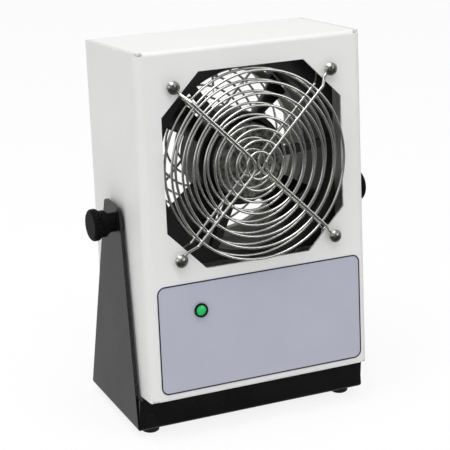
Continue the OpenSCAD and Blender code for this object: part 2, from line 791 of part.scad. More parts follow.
module blade() {
    ring = [
        for (j = [0 : blade_cols]) [j / blade_cols, 1],
        for (j = [blade_cols - 1 : -1 : 1]) [j / blade_cols, -1]
    ];
    n = len(ring);
    points = [
        for (i = [0 : blade_rows]) for (p = ring) blade_point(i / blade_rows, p[0], p[1])
    ];
    sides = [
        for (i = [0 : blade_rows - 1]) for (j = [0 : n - 1])
            let (a = i * n + j, b = i * n + (j + 1) % n)
            for (f = [[a, b, b + n], [a, b + n, a + n]]) f
    ];
    root = [for (j = [1 : n - 2]) [0, j + 1, j]];
    tip = [for (j = [1 : n - 2]) [blade_rows * n, blade_rows * n + j, blade_rows * n + j + 1]];
    polyhedron(points, concat(sides, root, tip), convexity = 4);
}

// The impeller: a drum that spins round the stator, with its blades.
module fan_rotor() {
    drum_l = fan_depth - rotor_front - rotor_back;
    color([0.05, 0.05, 0.05]) in_fan() turned(fan_y + rotor_front) {
        difference() {
            cylinder(h = drum_l, r = drum_r);
            translate([0, 0, -1]) cylinder(h = drum_l - 2, r = drum_r - 3);
            cylinder(h = drum_l + 1, r = shaft_r);
        }
        for (k = [0 : blade_count - 1])
            rotate([0, 0, rotor_turn + k * 360 / blade_count])
                translate([0, 0, drum_l / 2]) blade();
    }
}

// The shaft, pressed into the drum.
module rotor_shaft()
    color([0.75, 0.75, 0.75]) in_fan() turned(fan_y + hub_face + 3.3)
        cylinder(h = fan_depth - hub_face - 3.3 - rotor_back, r = shaft_r);

// ---- Ionizer ------------------------------------------------------------------

// The insulating ring that carries the emitter points, on four ears.
module emitter_ring()
    color([0.9, 0.9, 0.86]) in_fan() {
        difference() {
            turned(emitter_y) cylinder(h = emitter_t, r = emitter_r + 2.5);
            turned(emitter_y - 1) cylinder(h = emitter_t + 2, r = emitter_r - 2.5);
        }
        for (a = [0 : 90 : 270])
            rotate([0, a, 0]) {
                translate([emitter_r - 9, emitter_y, -2.5]) cube([8, emitter_t, 5]);
                rotate([0, 45, 0]) difference() {
                    union() {
                        translate([emitter_r + 1, emitter_y, -4])
                            cube([hole_at * sqrt(2) - emitter_r - 1, emitter_t, 8]);
                        translate([hole_at * sqrt(2), 0, 0]) turned(fan_back_y + nut_h + 1.1)
                            cylinder(h = emitter_t + 0.9, r = 5);
                    }
                    translate([hole_at * sqrt(2), 0, 0]) turned(fan_back_y)
                        cylinder(h = emitter_t + nut_h + 3, r = fan_screw_d / 2 + fit);
                }
            }
    }

// Four sharp emitter points, aimed at the fan's axis.
module emitter_needles()
    color([0.8, 0.8, 0.82]) in_fan()
        for (a = [0 : 90 : 270])
            rotate([0, a, 0]) translate([emitter_r - 9, emitter_y + emitter_t / 2, 0])
                rotate([0, -90, 0]) {
                    cylinder(h = 6, r = 0.75);
                    translate([0, 0, 6]) cylinder(h = 5, r1 = 0.75, r2 = 0.08);
                }

// The potted high-voltage supply, on the board, with its four screw sockets.
module high_voltage_module()
    color([0.08, 0.08, 0.1]) in_housing()
        translate([stand_room - board_w / 2, board_y + standoff_in, board_top]) difference() {
            cube([module_w, module_d, module_h]);
            for (x = [standoff_in, module_w - standoff_in], y = [standoff_in, module_d - standoff_in])
                translate([x, y, module_h - 3]) cylinder(h = 4, r = small_screw_d / 2);
        }

module control_board()
    color([0.1, 0.35, 0.2]) in_housing() difference() {
        translate([-board_w / 2, board_y, board_z]) cube([board_w, board_d, board_t]);
        at_standoffs() cylinder(h = 4 * board_t, r = small_screw_d / 2 + tiny, center = true);
    }

module at_standoffs()
    for (x = [-1, 1], y = [board_y + standoff_in, board_y + board_d - standoff_in])
        translate([x * (board_w / 2 - standoff_in), y, board_z]) children();

// Hexagon standoffs, each with its screw head over the board.
module board_standoffs()
    color([0.75, 0.7, 0.45]) in_housing() at_standoffs() {
        translate([0, 0, -standoff_h]) cylinder(h = standoff_h, r = small_screw_d, $fn = 6);
        translate([0, 0, -tiny]) cylinder(h = board_t + tiny, r = small_screw_d / 2);
        translate([0, 0, board_t]) cylinder(h = small_screw_d / 2, r = small_screw_d * 0.9);
    }

// Transformer and capacitors, beside the module.
module board_parts() {
    cap_r = 4.4;
    cap_x = board_w / 2 - stand_room - cap_r;
    core_x = cap_x - cap_r - parts_gap;
    core_w = parts_w - 2 * cap_r - 3 * parts_gap;
    color([0.2, 0.2, 0.25]) in_housing() translate([0, board_y, board_top]) {
        translate([core_x - core_w, standoff_in, 0]) cube([core_w, module_d, module_h * 0.75]);
        for (y = [standoff_in + cap_r : 2 * cap_r + parts_gap : board_d - cap_r - 1])
            translate([cap_x, y, 0]) cylinder(h = module_h / 2, r = cap_r);
    }
}

// ---- Rear controls ------------------------------------------------------------

// The appliance inlet's outline: two of its corners are cut.
module inlet_outline(size, cut)
    polygon([
        [-size[0] / 2, -size[1] / 2], [size[0] / 2, -size[1] / 2],
        [size[0] / 2, size[1] / 2 - cut], [size[0] / 2 - cut, size[1] / 2],
        [cut - size[0] / 2, size[1] / 2], [-size[0] / 2, size[1] / 2 - cut]
    ]);

// Mains inlet: flange, body, the socket for a plug and the bay for the fuse drawer.
module inlet_body()
    color([0.06, 0.06, 0.06]) in_housing() translate([inlet_x, 0, controls_z]) difference() {
        union() {
            slab(back_y, inlet_lip) round_rect(inlet_w, inlet_h, 4);
            slab(back_y - inlet_body_d, inlet_body_d + tiny)
                square([socket_w + 3.4, inlet_h - 4.6], center = true);
        }
        translate([0, 0, socket_up]) slab(back_y + inlet_lip - socket_depth, socket_depth + 1)
            inlet_outline(pin_socket, socket_cut);
        translate([0, 0, drawer_up]) slab(back_y + inlet_lip - drawer_depth, drawer_depth + 1)
            square([drawer_size[0] + 2 * drawer_fit, drawer_size[1] + 2 * drawer_fit], center = true);
        for (x = [-1, 1])
            translate([x * inlet_hole, 0, 0]) turned(back_y - 1)
                cylinder(h = inlet_lip + 2, r = small_screw_d / 2 + fit);
    }

// The inlet's three flat pins.
module inlet_pins()
    color([0.8, 0.78, 0.7]) in_housing() translate([inlet_x, 0, controls_z + socket_up])
        for (p = [[-pin_spread, -2], [pin_spread, -2], [0, 2]])
            translate([p[0] - pin_size[0] / 2, back_y + inlet_lip - 3 - pin_size[1], p[1] - pin_size[2] / 2])
                cube(pin_size);

module inlet_screws()
    color([0.75, 0.75, 0.75]) in_housing()
        for (x = [-1, 1])
            translate([inlet_x + x * inlet_hole, back_y + inlet_lip, controls_z])
                mirror([0, 1, 0])
                    pan_screw(small_screw_d, small_screw_d * 1.85, small_screw_d * 0.6, inlet_screw_l);

// The fuse drawer, with a finger notch, a front lip and a trough for the fuse.
module fuse_drawer()
    color([0.1, 0.1, 0.1]) in_housing()
        translate([inlet_x, back_y + inlet_lip - drawer_depth + 0.5, controls_z + drawer_up])
            difference() {
                translate([-drawer_size[0] / 2, 0, -drawer_size[1] / 2])
                    cube([drawer_size[0], drawer_depth + 0.9, drawer_size[1]]);
                translate([-fuse_l / 2 - 0.4, 4, -fuse_r - 0.3])
                    cube([fuse_l + 0.8, 2 * fuse_r + 0.8, drawer_size[1]]);
                translate([-3, drawer_depth - 0.6, drawer_size[1] / 2 - 1.6]) cube([6, 3, 2]);
            }

module fuse()
    color([0.85, 0.85, 0.85]) in_housing()
        translate([inlet_x - fuse_l / 2, back_y + inlet_lip - drawer_depth + 7.5, controls_z + drawer_up])
            rotate([0, 90, 0]) cylinder(h = fuse_l, r = fuse_r);

// Frame of the power switch.
module switch_frame()
    color([0.05, 0.05, 0.05]) in_housing() translate([switch_x, 0, controls_z]) difference() {
        union() {
            slab(back_y, switch_lip) round_rect(switch_w + 3, switch_h + 3, 1);
            slab(back_y - switch_depth, switch_depth + tiny)
                square([switch_w - 2 * fit, switch_h - 2 * fit], center = true);
            for (x = [-3.5, 3.5])
                translate([x - 0.4, back_y - switch_depth - 8, -3]) cube([0.8, 9, 6]);
        }
        slab(back_y - rocker_in - rocker_r - 1, rocker_r + rocker_in + 1 + 2 * switch_lip)
            square([rocker_w + 0.8, 2 * rocker_reach + 1.2], center = true);
    }

// The rocker, pressed at its lower end; it turns about an axle along X.
module switch_rocker() {
    side = rocker_reach + 1;
    color([0.07, 0.07, 0.07]) in_housing()
        translate([switch_x, back_y - rocker_in, controls_z]) rotate([rock_angle / 2, 0, 0])
            rotate([90, 0, 90]) linear_extrude(rocker_w, center = true) difference() {
                intersection() {
                    circle(rocker_r);
                    square([2 * rocker_r * 0.78, 2 * rocker_reach], center = true);
                }
                // A shallow V across the face that is pressed.
                polygon([[rocker_r * 0.4, 0], [rocker_r * 0.62, side], [rocker_r + 1, side],
                         [rocker_r + 1, -side], [rocker_r * 0.62, -side]]);
            }
}

// Potentiometer body with its threaded bushing.
module speed_control()
    color([0.35, 0.35, 0.37]) in_housing() translate([speed_x, 0, controls_z]) difference() {
        union() {
            turned(panel_y - control_l) cylinder(h = control_l, r = control_r);
            turned(panel_y - tiny) cylinder(h = sheet_t + bushing_l, r = bushing_r);
            for (x = [-5, 0, 5])
                translate([x - 0.6, panel_y - 6, -control_r - 5]) cube([1.2, 0.8, 8]);
        }
        turned(panel_y - 6) cylinder(h = 20, r = speed_shaft_r + run_gap);
    }

module speed_nut()
    color([0.75, 0.75, 0.75]) in_housing() translate([speed_x, back_y, controls_z])
        hex_nut(2 * bushing_r, 10, 2);

module speed_shaft()
    color([0.75, 0.75, 0.75]) in_housing() translate([speed_x, 0, controls_z])
        turned(panel_y - 5.5) cylinder(h = 5.5 + sheet_t + speed_knob_h - 1, r = speed_shaft_r);

// The fan speed knob: fluted, with a pointer line, hollow over the nut.
module speed_knob() {
    knob_h = speed_knob_h;
    color([0.07, 0.07, 0.07]) in_housing() translate([speed_x, 0, controls_z])
        turned(back_y + speed_gap) difference() {
            union() {
                cylinder(h = 2, r = speed_d / 2);
                cylinder(h = knob_h, r1 = speed_d / 2 - 1.6, r2 = speed_d / 2 - 2.4);
            }
            translate([0, 0, -1]) cylinder(h = bushing_l + 1.4, r = 6.4);
            translate([0, 0, -1]) cylinder(h = knob_h - speed_gap, r = speed_shaft_r);
            for (k = [0 : 17])
                rotate([0, 0, k * 20]) translate([speed_d / 2 - 1.2, 0, 2.6])
                    cylinder(h = knob_h, r = 0.7);
            rotate([0, 0, 135]) translate([speed_d / 2 - 7, -0.5, knob_h - 0.5])
                cube([6, 1, 1]);
        }
}

// Ground jack for a 4 mm plug.
module ground_jack()
    color([0.1, 0.45, 0.2]) in_housing() translate([jack_x, 0, controls_z]) difference() {
        union() {
            turned(back_y) cylinder(h = jack_flange_t, r = jack_flange_r);
            turned(panel_y - jack_body_l) cylinder(h = jack_body_l + sheet_t + tiny, r = jack_r);
        }
        turned(panel_y - jack_body_l + 2) cylinder(h = 2 * jack_body_l, r = jack_bore_r);
    }

module ground_nut()
    color([0.75, 0.75, 0.75]) in_housing() translate([jack_x, panel_y - 2.5, controls_z])
        hex_nut(2 * jack_r, 11, 2.5);

// ---- Clamp knobs --------------------------------------------------------------

// A turned black knob: domed head, shoulder and neck. Its stud is a piece of its own.
module clamp_knob(side) {
    r = grip_d / 2;
    e = grip_edge;
    back = grip_out - grip_t;
    color([0.05, 0.05, 0.05]) in_housing() sideways(side, arm_out + 0.1) difference() {
        union() {
            rotate_extrude() {
                translate([0, back]) square([r - e, grip_t - 0.1]);
                translate([0, back + e]) square([r, grip_t - 2 * e - 0.1]);
                for (z = [back + e, back + grip_t - e - 0.1])
                    translate([r - e, z]) circle(e);
            }
            cylinder(h = back + 1, r = r * 0.6);
            translate([0, 0, back - 5.6]) cylinder(h = 5.6, r = r * 0.7);
            translate([0, 0, back - 3.9]) cylinder(h = 4.5, r = r * 0.84);
        }
        translate([0, 0, -1]) cylinder(h = back + 2, r = stud_d / 2);
        for (k = [0 : 23])
            rotate([0, 0, k * 15]) translate([r + 0.35, 0, back - 1])
                cylinder(h = grip_t + 2, r = 0.7);
    }
}

// The stud, moulded into the knob and screwed into the housing's insert.
module clamp_stud(side)
    color([0.7, 0.7, 0.7]) in_housing() sideways(side, house_w / 2 - sheet_t - insert_l + 1)
        cylinder(h = sheet_t + insert_l - 1 + arm_gap + stand_t + 0.1 + grip_out - grip_t + 0.9,
                 r = stud_d / 2);

module left_knob() clamp_knob(-1);

module left_stud() clamp_stud(-1);

module right_knob() clamp_knob(1);

module right_stud() clamp_stud(1);

stand_bracket();
stand_feet();
left_pivot_washer();
right_pivot_washer();
front_shell();
rear_panel();
rear_panel_screws();
pivot_inserts();
front_label();
lamp_bezel();
lamp_lens();
front_guard();
inner_guard();
rear_guard();
fan_screws();
fan_spacers();
fan_nuts();
rear_guard_screws();
rear_guard_nuts();
fan_frame();
fan_hub_plate();
fan_stator();
fan_bearings();
fan_rotor();
rotor_shaft();
emitter_ring();
emitter_needles();
high_voltage_module();
control_board();
board_standoffs();
board_parts();
inlet_body();
inlet_pins();
inlet_screws();
fuse_drawer();
fuse();
switch_frame();
switch_rocker();
speed_control();
speed_nut();
speed_shaft();
speed_knob();
ground_jack();
ground_nut();
left_knob();
left_stud();
right_knob();
right_stud();
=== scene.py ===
"""Looks of a tilting bench ionizing blower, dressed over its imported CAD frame.

The frame holds every rigid piece. This script gives each piece its finish and adds
what is printed or pressed on: the label's border line, the rings and rivets of the
motor's disc, the rocker's marks and the speed knob's pointer. Every place is worked
out from the frame, and every size is in metres.
"""

import json
import logging
import math
from dataclasses import dataclass, field
from enum import Enum
from functools import cache

import bmesh
import bpy
from mathutils import Matrix, Vector

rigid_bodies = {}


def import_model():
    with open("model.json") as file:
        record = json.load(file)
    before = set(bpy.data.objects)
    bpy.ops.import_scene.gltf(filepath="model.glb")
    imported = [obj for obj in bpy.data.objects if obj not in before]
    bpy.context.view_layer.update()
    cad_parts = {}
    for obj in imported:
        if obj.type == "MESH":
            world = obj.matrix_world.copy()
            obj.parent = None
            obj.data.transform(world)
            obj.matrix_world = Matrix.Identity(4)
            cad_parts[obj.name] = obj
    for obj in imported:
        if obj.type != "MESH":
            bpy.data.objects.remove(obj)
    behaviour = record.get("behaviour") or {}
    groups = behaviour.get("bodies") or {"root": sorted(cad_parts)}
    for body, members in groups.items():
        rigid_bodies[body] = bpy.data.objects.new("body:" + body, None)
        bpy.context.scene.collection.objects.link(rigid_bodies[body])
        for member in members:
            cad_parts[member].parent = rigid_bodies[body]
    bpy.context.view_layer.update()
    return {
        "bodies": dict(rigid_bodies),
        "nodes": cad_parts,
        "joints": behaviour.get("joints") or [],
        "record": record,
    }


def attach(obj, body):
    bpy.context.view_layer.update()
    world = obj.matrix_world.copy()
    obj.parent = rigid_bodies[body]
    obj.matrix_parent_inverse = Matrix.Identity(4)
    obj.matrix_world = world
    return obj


LOG = logging.getLogger("blower")
MM = 0.001
Triple = tuple[float, float, float]


class Body(str, Enum):
    """The frame's moving bodies that new pieces ride on."""

    HOUSING = "housing"
    ROCKER = "power_switch"
    SPEED_KNOB = "speed_knob"


# ---- Shader building ----------------------------------------------------------


class Socket:
    """A shader socket that can be combined with others by plain arithmetic."""

    def __init__(self, graph: "Graph", socket: bpy.types.NodeSocket) -> None:
        self.graph = graph
        self.socket = socket

    def _math(self, operation: str, other: "Socket | float", swap: bool = False) -> "Socket":
        """One Math node on this value and another.

        Args:
            operation: Blender's name of the operation.
            other: The second value.
            swap: Whether the other value comes first.

        Returns:
            The result.
        """
        first, second = (other, self) if swap else (self, other)
        return self.graph.node("ShaderNodeMath", {0: first, 1: second}, operation=operation)

    def __add__(self, other: "Socket | float") -> "Socket":
        """Sum."""
        return self._math("ADD", other)

    def __sub__(self, other: "Socket | float") -> "Socket":
        """Difference."""
        return self._math("SUBTRACT", other)

    def __rsub__(self, other: "Socket | float") -> "Socket":
        """Difference, from a plain number."""
        return self._math("SUBTRACT", other, swap=True)

    def __mul__(self, other: "Socket | float") -> "Socket":
        """Product."""
        return self._math("MULTIPLY", other)

    __radd__ = __add__
    __rmul__ = __mul__

    def clamp_range(self, low: float, high: float, to_low: float = 0.0, to_high: float = 1.0) -> "Socket":
        """The value mapped from low..high to to_low..to_high, and held there.

        Args:
            low: Input that gives to_low.
            high: Input that gives to_high.
            to_low: Output at and below low.
            to_high: Output at and above high.

        Returns:
            The mapped value.
        """
        inputs = {"Value": self, "From Min": low, "From Max": high, "To Min": to_low, "To Max": to_high}
        return self.graph.node("ShaderNodeMapRange", inputs)


class Graph:
    """A node tree under construction, with one method that adds nodes."""

    def __init__(self, tree: bpy.types.NodeTree) -> None:
        self.tree = tree
        tree.nodes.clear()

    def node(self, kind: str, inputs: dict | None = None, output: int | str = 0, **settings) -> Socket:
        """Adds one node.

        Args:
            kind: Blender's name of the node type.
            inputs: Input socket name or number to a Socket or a plain value.
            output: Name or number of the output to return.
            **settings: Properties of the node itself.

        Returns:
            The chosen output.
        """
        made = self.tree.nodes.new(kind)
        for name, value in settings.items():
            setattr(made, name, value)
        for key, value in (inputs or {}).items():
            if isinstance(value, Socket):
                self.tree.links.new(value.socket, made.inputs[key])
            else:
                made.inputs[key].default_value = value
        return Socket(self, made.outputs[output])

    def coordinates(self) -> Socket:
        """Object coordinates, in metres."""
        return self.node("ShaderNodeTexCoord", output="Object")

    def parts(self, vector: Socket) -> tuple[Socket, Socket, Socket]:
        """A vector taken apart into X, Y and Z."""
        split = self.node("ShaderNodeSeparateXYZ", {0: vector})
        return tuple(Socket(self, output) for output in split.socket.node.outputs)

    def noise(self, scale: float, detail: float = 2.0, stretch: Triple = (1, 1, 1)) -> Socket:
        """Soft noise over the object.

        Args:
            scale: Noise cells per metre.
            detail: Octaves.
            stretch: Factors on the three axes.

        Returns:
            The noise value, around 0.5.
        """
        place = self.node("ShaderNodeMapping", {"Vector": self.coordinates(), "Scale": stretch})
        return self.node("ShaderNodeTexNoise", {"Vector": place, "Scale": scale, "Detail": detail})

    def tint(self, factor: Socket, low: tuple[float, ...], high: tuple[float, ...]) -> Socket:
        """A colour between low and high."""
        inputs = {"Factor": factor, 6: (*low, 1.0), 7: (*high, 1.0)}
        return self.node("ShaderNodeMix", inputs, output=2, data_type="RGBA")

    def bump(self, height: Socket, strength: float, distance: float) -> Socket:
        """A normal bent by a height."""
        inputs = {"Height": height, "Strength": strength, "Distance": distance}
        return self.node("ShaderNodeBump", inputs)

    def close(self, shader: Socket, kind: str = "ShaderNodeOutputMaterial") -> None:
        """Joins a shader to the tree's output."""
        made = self.tree.nodes.new(kind)
        self.tree.links.new(shader.socket, made.inputs["Surface"])


COAT_ROUGHNESS = 0.12


@dataclass(frozen=True)
class Finish:
    """One surface finish: colour with its variation, gloss with its variation, and grain.

    Attributes:
        name: Name of the material.
        colour: Base colour, linear.
        shade: The colour that the finish drifts to in patches.
        roughness: Lowest and highest roughness over the surface.
        metallic: 1 for bare metal.
        coat: Weight of a clear coat.
        gleam: Strength of the mirror reflection off the surface, 0.5 for common plastics.
        grain: Cells per metre of the fine bump.
        relief: Height of the fine bump, in metres.
        patch: Cells per metre of the slow variation.
        stretch: Stretch of the fine bump along the axes, for brushed metal.
        glow: Strength of the surface's own light.
        alpha: Opacity.
    """

    name: str
    colour: Triple
    shade: Triple
    roughness: tuple[float, float] = (0.4, 0.5)
    metallic: float = 0.0
    coat: float = 0.0
    gleam: float = 0.5
    grain: float = 900.0
    relief: float = 0.00002
    patch: float = 30.0
    stretch: Triple = (1.0, 1.0, 1.0)
    glow: float = 0.0
    alpha: float = 1.0

    @cache
    def material(self) -> bpy.types.Material:
        """The finish as a Blender material, made once.

        Returns:
            The material.
        """
        made = bpy.data.materials.new(self.name)
        made.use_nodes = True
        made.diffuse_color = (*self.colour, 1.0)
        self.wire(Graph(made.node_tree))
        return made

    def wire(self, graph: Graph) -> None:
        """Fills the material's node tree."""
        slow = graph.noise(self.patch, 3.0)
        colour = graph.tint(slow.clamp_range(0.35, 0.65), self.colour, self.shade)
        rough = slow.clamp_range(0.3, 0.7, *self.roughness)
        fine = graph.noise(self.grain, 2.0, self.stretch)
        inputs = {
            "Base Color": colour,
            "Roughness": rough,
            "Metallic": self.metallic,
            "Specular IOR Level": self.gleam,
            "Coat Weight": self.coat,
            "Coat Roughness": COAT_ROUGHNESS,
            "Alpha": self.alpha,
            "Normal": graph.bump(fine, 1.0, self.relief),
        }
        if self.glow:
            inputs["Emission Color"] = (*self.colour, 1.0)
            inputs["Emission Strength"] = self.glow
        graph.close(graph.node("ShaderNodeBsdfPrincipled", inputs))


POWDER_WHITE = Finish(
    "powder_white", (0.80, 0.80, 0.79), (0.775, 0.775, 0.77),
    (0.4, 0.5), grain=1400.0, relief=0.000016, patch=14.0,
)
PAINT_BLACK = Finish(
    "paint_black", (0.006, 0.006, 0.006), (0.009, 0.009, 0.0088),
    (0.22, 0.32), gleam=0.42, grain=420.0, relief=0.00002,
)
RUBBER = Finish(
    "rubber_black", (0.012, 0.012, 0.012), (0.02, 0.02, 0.02),
    (0.6, 0.75), grain=1800.0, relief=0.00003,
)
FILM = Finish(
    "label_film", (0.465, 0.475, 0.565), (0.45, 0.46, 0.55),
    (0.38, 0.44), grain=2500.0, relief=0.000008,
)
INK_BLACK = Finish("ink_black", (0.008, 0.008, 0.012), (0.012, 0.012, 0.016), (0.35, 0.45))
INK_WHITE = Finish("ink_white", (0.78, 0.78, 0.76), (0.72, 0.72, 0.70), (0.4, 0.5))
PLASTIC_BLACK = Finish(
    "plastic_black", (0.012, 0.012, 0.012), (0.018, 0.018, 0.018),
    (0.38, 0.5), grain=2200.0, relief=0.00002,
)
GLOSS_BLACK = Finish(
    "gloss_black", (0.004, 0.004, 0.004), (0.007, 0.007, 0.0065),
    (0.3, 0.4), gleam=0.04, grain=900.0,
)
LENS_GREEN = Finish(
    "lens_green", (0.012, 0.44, 0.10), (0.02, 0.52, 0.14),
    (0.2, 0.28), coat=0.4, glow=0.12,
)
CHROME = Finish(
    "wire_plated", (0.86, 0.86, 0.83), (0.70, 0.70, 0.66),
    (0.14, 0.26), metallic=1.0, grain=1500.0, relief=0.00002,
)
SCREW = Finish(
    "screw_plated", (0.52, 0.52, 0.49), (0.22, 0.22, 0.20),
    (0.16, 0.3), metallic=1.0, patch=320.0, relief=0.00003,
)
ZINC = Finish("zinc_plated", (0.62, 0.62, 0.62), (0.54, 0.54, 0.52), (0.28, 0.42), metallic=1.0)
CASTING = Finish(
    "fan_casting", (0.006, 0.006, 0.006), (0.012, 0.012, 0.012),
    (0.42, 0.58), grain=1400.0, relief=0.00004,
)
BLADE = Finish(
    "fan_blade", (0.008, 0.008, 0.009), (0.014, 0.014, 0.014),
    (0.34, 0.46), grain=1200.0, relief=0.00001,
)
HUB_PLATE = Finish(
    "hub_plate", (0.34, 0.34, 0.32), (0.045, 0.045, 0.042),
    (0.28, 0.5), metallic=0.7, patch=330.0, relief=0.00006,
)
COPPER = Finish(
    "copper_wire", (0.55, 0.26, 0.12), (0.42, 0.18, 0.09),
    (0.3, 0.4), metallic=1.0, grain=2500.0,
)
BRASS = Finish("brass_bare", (0.62, 0.46, 0.18), (0.55, 0.4, 0.15), (0.28, 0.4), metallic=1.0)
STEEL = Finish("steel_ground", (0.6, 0.6, 0.6), (0.52, 0.52, 0.53), (0.2, 0.32), metallic=1.0)
INSULATOR = Finish("insulator_white", (0.62, 0.62, 0.58), (0.58, 0.58, 0.54), (0.4, 0.5))
BOARD = Finish("board_green", (0.02, 0.14, 0.06), (0.025, 0.17, 0.07), (0.3, 0.4))
PARTS = Finish("board_parts", (0.03, 0.03, 0.035), (0.05, 0.05, 0.055), (0.35, 0.5))
GLASS = Finish("fuse_glass", (0.75, 0.78, 0.78), (0.7, 0.74, 0.74), (0.05, 0.1), alpha=0.5)
JACK_GREEN = Finish("jack_green", (0.03, 0.2, 0.07), (0.035, 0.23, 0.08), (0.3, 0.4))


NODE_FINISH: dict[str, Finish] = {
    "stand_bracket": PAINT_BLACK, "stand_feet": RUBBER,
    "left_pivot_washer": PLASTIC_BLACK, "right_pivot_washer": PLASTIC_BLACK,
    "front_shell": POWDER_WHITE, "rear_panel": POWDER_WHITE, "rear_panel_screws": ZINC,
    "pivot_inserts": BRASS, "front_label": FILM, "lamp_bezel": GLOSS_BLACK, "lamp_lens": LENS_GREEN,
    "front_guard": CHROME, "inner_guard": CHROME, "rear_guard": CHROME,
    "fan_screws": SCREW, "fan_spacers": ZINC, "fan_nuts": ZINC,
    "rear_guard_screws": SCREW, "rear_guard_nuts": ZINC,
    "fan_frame": CASTING, "fan_hub_plate": HUB_PLATE, "fan_stator": COPPER, "fan_bearings": STEEL,
    "fan_rotor": BLADE, "rotor_shaft": STEEL,
    "emitter_ring": INSULATOR, "emitter_needles": STEEL, "high_voltage_module": PARTS,
    "control_board": BOARD, "board_standoffs": BRASS, "board_parts": PARTS,
    "inlet_body": PLASTIC_BLACK, "inlet_pins": ZINC, "inlet_screws": ZINC,
    "fuse_drawer": PLASTIC_BLACK, "fuse": GLASS,
    "switch_frame": PLASTIC_BLACK, "switch_rocker": GLOSS_BLACK,
    "speed_control": ZINC, "speed_nut": ZINC, "speed_shaft": STEEL, "speed_knob": PLASTIC_BLACK,
    "ground_jack": JACK_GREEN, "ground_nut": ZINC,
    "left_knob": GLOSS_BLACK, "left_stud": ZINC, "right_knob": GLOSS_BLACK, "right_stud": ZINC,
}


# ---- Mesh helpers -------------------------------------------------------------

AXIS_GAP = 0.0001 * MM  # radius of a turned form's end, which keeps its faces from folding on the axis


def new_piece(name: str, mesh: bmesh.types.BMesh, finish: Finish, body: Body, smooth: bool = False) -> None:
    """Turns a bmesh into a piece that rides on a body.

    Args:
        name: Name of the piece.
        mesh: The geometry, in the frame's own place; it is freed.
        finish: Its finish.
        body: The body that it moves with.
        smooth: Whether its faces are shaded smooth.
    """
    bmesh.ops.recalc_face_normals(mesh, faces=mesh.faces)
    data = bpy.data.meshes.new(name)
    mesh.to_mesh(data)
    mesh.free()
    for polygon in data.polygons:
        polygon.use_smooth = smooth
    made = bpy.data.objects.new(name, data)
    bpy.context.scene.collection.objects.link(made)
    data.materials.append(finish.material())
    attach(made, body.value)
    LOG.info("piece %s rides on %s", name, body.value)


def round_outline(width: float, height: float, radius: float, steps: int = 10) -> list[Vector]:
    """Points of a rectangle with round corners, in X and Z, centred on the origin."""
    points = []
    corners = ((1, 1, 0), (-1, 1, 90), (-1, -1, 180), (1, -1, 270))
    for sx, sz, start in corners:
        centre = Vector((sx * (width / 2 - radius), 0, sz * (height / 2 - radius)))
        for i in range(steps + 1):
            angle = math.radians(start + 90 * i / steps)
            points.append(centre + Vector((math.cos(angle), 0, math.sin(angle))) * radius)
    return points


def ring_between(mesh: bmesh.types.BMesh, outer: list[Vector], inner: list[Vector], place: Matrix) -> None:
    """Fills the band between two outlines of as many points."""
    a = [mesh.verts.new(place @ p) for p in outer]
    b = [mesh.verts.new(place @ p) for p in inner]
    count = len(a)
    for i in range(count):
        j = (i + 1) % count
        mesh.faces.new((a[i], a[j], b[j], b[i]))


def lathe(
    mesh: bmesh.types.BMesh, profile: list[tuple[float, float]], place: Matrix, steps: int = 72
) -> None:
    """Turns a closed profile about the Y axis of a place.

    Args:
        mesh: Where the faces go.
        profile: Radius and depth along Y of each corner, in order round the section.
        place: The matrix of the axis.
        steps: Number of faces round.
    """
    loops = []
    for k in range(steps):
        angle = 2 * math.pi * k / steps
        spoke = Vector((math.cos(angle), 0, math.sin(angle)))
        loops.append([mesh.verts.new(place @ (spoke * r + Vector((0, depth, 0)))) for r, depth in profile])
    count = len(profile)
    for k in range(steps):
        near, far = loops[k], loops[(k + 1) % steps]
        for i in range(count):
            j = (i + 1) % count
            mesh.faces.new((near[i], near[j], far[j], far[i]))


def plate(mesh: bmesh.types.BMesh, outline: list[Vector], thick: float, place: Matrix) -> None:
    """A flat plate: an outline in X and Z, given its thickness towards -Y.

    Args:
        mesh: Where the faces go.
        outline: The corners, in order.
        thick: The thickness.
        place: The matrix of its place.
    """
    back = [mesh.verts.new(place @ p) for p in outline]
    front = [mesh.verts.new(place @ (p - Vector((0, thick, 0)))) for p in outline]
    mesh.faces.new(front)
    mesh.faces.new(list(reversed(back)))
    for i in range(len(outline)):
        j = (i + 1) % len(outline)
        mesh.faces.new((back[i], back[j], front[j], front[i]))


# ---- Frame facts --------------------------------------------------------------


@dataclass
class Lean:
    """The leaning housing's own axes, read from the frame's joints."""

    frame: dict
    across: Vector = field(init=False)
    back: Vector = field(init=False)
    up: Vector = field(init=False)
    pivot: Vector = field(init=False)

    def __post_init__(self) -> None:
        joints = {j["name"]: j for j in self.frame["joints"]}
        self.pivot = Vector(joints["housing_tilt"]["pos_m"])
        self.back = Vector(joints["fan_spin"]["axis"]).normalized()
        self.across = Vector((1, 0, 0))
        self.up = self.across.cross(self.back).normalized()

    def place(self, point: Vector) -> Matrix:
        """A matrix that puts X, Y and Z along the housing's axes, from a point."""
        turn = Matrix((self.across, self.back, self.up)).transposed().to_4x4()
        return Matrix.Translation(point) @ turn

    def own(self, node: str) -> tuple[Vector, Vector]:
        """Lowest and highest corner of a CAD node along the housing's own axes."""
        data = self.frame["nodes"][node].data
        turn = Matrix((self.across, self.back, self.up))
        points = [turn @ (v.co - self.pivot) for v in data.vertices]
        low = Vector(tuple(min(p[i] for p in points) for i in range(3)))
        high = Vector(tuple(max(p[i] for p in points) for i in range(3)))
        return low, high

    def world(self, point: Vector) -> Vector:
        """A point given along the housing's axes from the tilt axis, in the frame."""
        return self.pivot + self.across * point.x + self.back * point.y + self.up * point.z


# ---- Sub-assemblies -----------------------------------------------------------


